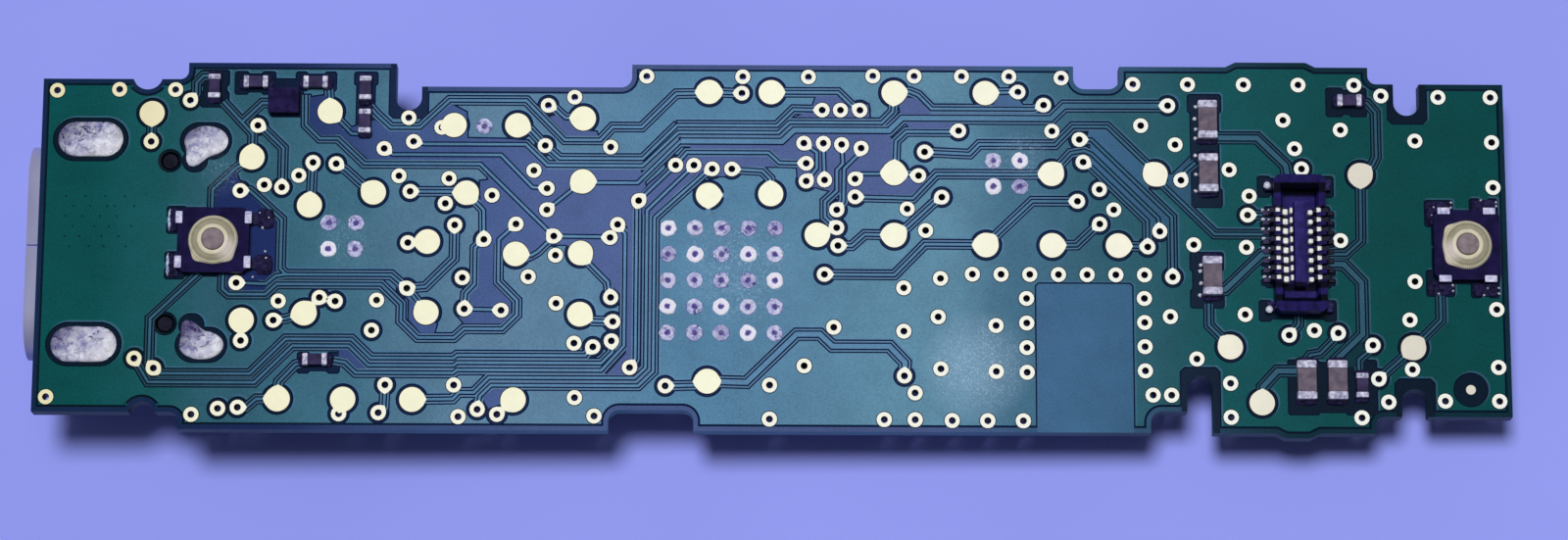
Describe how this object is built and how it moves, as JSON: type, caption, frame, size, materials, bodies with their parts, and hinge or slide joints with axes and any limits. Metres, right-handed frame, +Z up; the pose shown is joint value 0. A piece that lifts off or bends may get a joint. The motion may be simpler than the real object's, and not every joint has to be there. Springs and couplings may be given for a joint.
{
  "type": "hardware wallet circuit board",
  "caption": "Long narrow circuit board, bare of its case, with gold test pads and vias, a USB socket at one end, push switches at both ends and a board-to-board display socket.",
  "frame": {"origin": "under the middle of the part, on the plane that the USB shell's underside lies in", "axes": "+X along the board, from the USB socket to the display socket, +Y across it, +Z up through the test side"},
  "size_m": [0.0606, 0.0156, 0.0049],
  "materials": {
    "solder_mask": "glossy green solder mask over copper",
    "plated_gold": "flat immersion gold",
    "solder": "bright solder, slightly dull",
    "socket_steel": "rolled, nickel plated",
    "black_plastic": "moulded, satin",
    "contact_gold": "flash gold",
    "dark_plastic": "moulded, satin",
    "switch_plastic": "moulded, satin",
    "tinned_metal": "tin plated",
    "dome_steel": "bright spring steel",
    "amber_film": "translucent amber film",
    "grey_plastic": "moulded, satin",
    "chip_ceramic": "fired ceramic",
    "chip_resin": "moulding resin, finely matt",
    "aerial_ceramic": "glazed ceramic",
    "can_metal": "seam-welded lid",
    "ferrite": "pressed ferrite",
    "white_plastic": "moulded, satin"
  },
  "bodies": {
    "circuit_board": {"board": "solder_mask", "test_pads": "plated_gold", "ground_vias": "plated_gold", "thermal_vias": "solder", "fiducial": "plated_gold", "usb_shell": "socket_steel", "usb_insulator": "black_plastic", "usb_contacts": "contact_gold", "leg_solder": "solder", "display_housing": "dark_plastic", "display_contacts": "contact_gold", "display_anchors": "solder", "left_switch_base": "switch_plastic", "left_switch_leads": "tinned_metal", "left_switch_dome": "dome_steel", "left_switch_cover": "amber_film", "right_switch_base": "switch_plastic", "right_switch_leads": "tinned_metal", "right_switch_dome": "dome_steel", "right_switch_cover": "amber_film", "large_capacitors": "chip_ceramic", "large_capacitor_ends": "tinned_metal", "small_chips": "chip_ceramic", "small_chip_ends": "tinned_metal", "sensor": "black_plastic", "under_chips": "chip_ceramic", "under_chip_ends": "tinned_metal", "processor": "chip_resin", "secure_chip": "chip_resin", "charger_chip": "chip_resin", "chip_aerial": "aerial_ceramic", "crystals": "can_metal", "inductor": "ferrite", "battery_socket": "white_plastic", "battery_contacts": "tinned_metal"},
    "left_button": {"left_switch_plunger": "grey_plastic"},
    "right_button": {"right_switch_plunger": "grey_plastic"}
  },
  "joints": [
    {"name": "left_button_press", "type": "slide", "parent": "circuit_board", "child": "left_button", "axis": [0, 0, -1], "range_m": [0, 0.00012], "stiffness_N_per_m": 10000, "deforming": ["left_switch_dome"]},
    {"name": "right_button_press", "type": "slide", "parent": "circuit_board", "child": "right_button", "axis": [0, 0, -1], "range_m": [0, 0.00012], "stiffness_N_per_m": 10000, "deforming": ["right_switch_dome"]}
  ]
}
